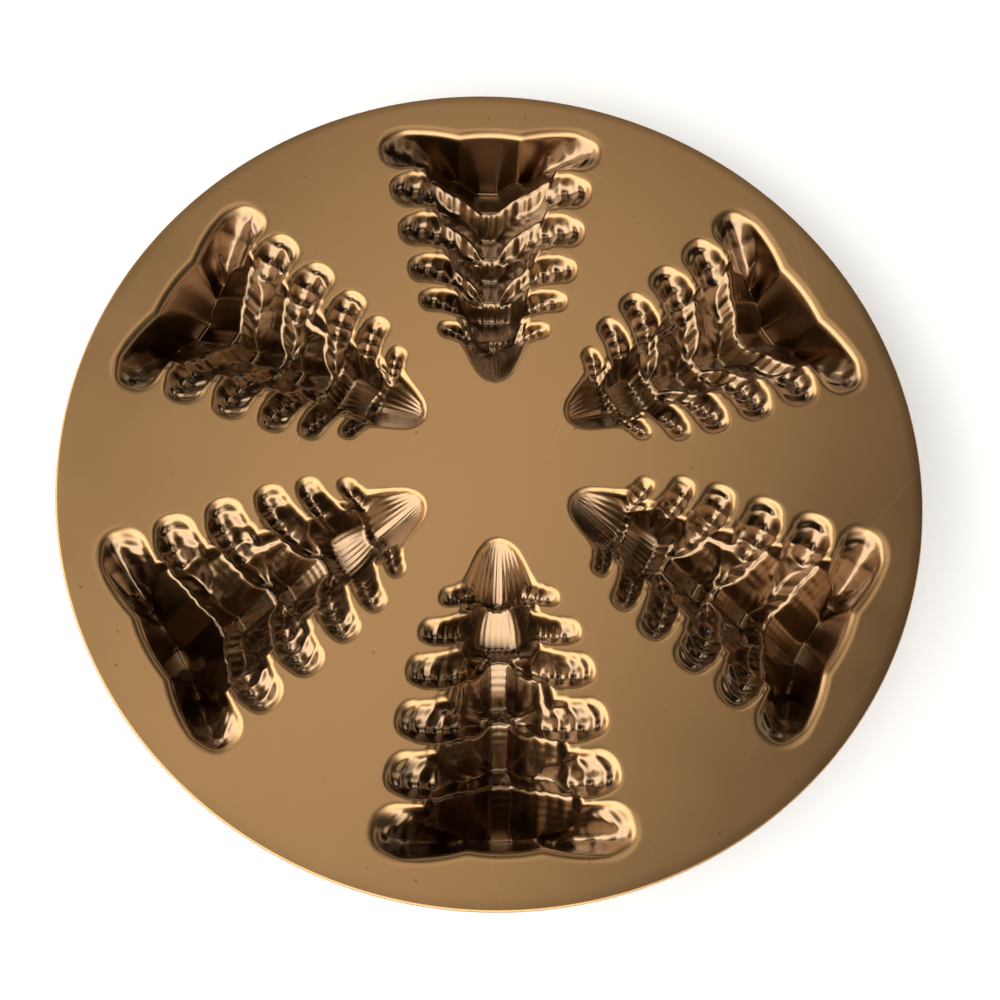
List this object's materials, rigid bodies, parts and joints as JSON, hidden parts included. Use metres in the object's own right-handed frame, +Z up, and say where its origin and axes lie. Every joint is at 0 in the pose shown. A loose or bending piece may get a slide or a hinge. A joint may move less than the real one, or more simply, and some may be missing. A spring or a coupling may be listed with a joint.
{
  "type": "cakelet pan",
  "caption": "Round cast cakelet pan with a flat deck, a rounded edge and deep fir-tree wells lying on their backs, tips to the middle.",
  "frame": {"origin": "middle of the base, on the surface that the pan stands on", "axes": "+Z up out of the deck, +Y along the axis of the first well from the middle of the pan to its foot"},
  "size_m": [0.3048, 0.3048, 0.0352],
  "materials": {
    "deck_coat": "satin",
    "well_coat": "satin"
  },
  "bodies": {
    "root": {"deck_plate": "deck_coat", "rim_bead": "deck_coat", "tree_well_1": "well_coat", "tree_well_2": "well_coat", "tree_well_3": "well_coat", "tree_well_4": "well_coat", "tree_well_5": "well_coat", "tree_well_6": "well_coat"}
  },
  "joints": []
}
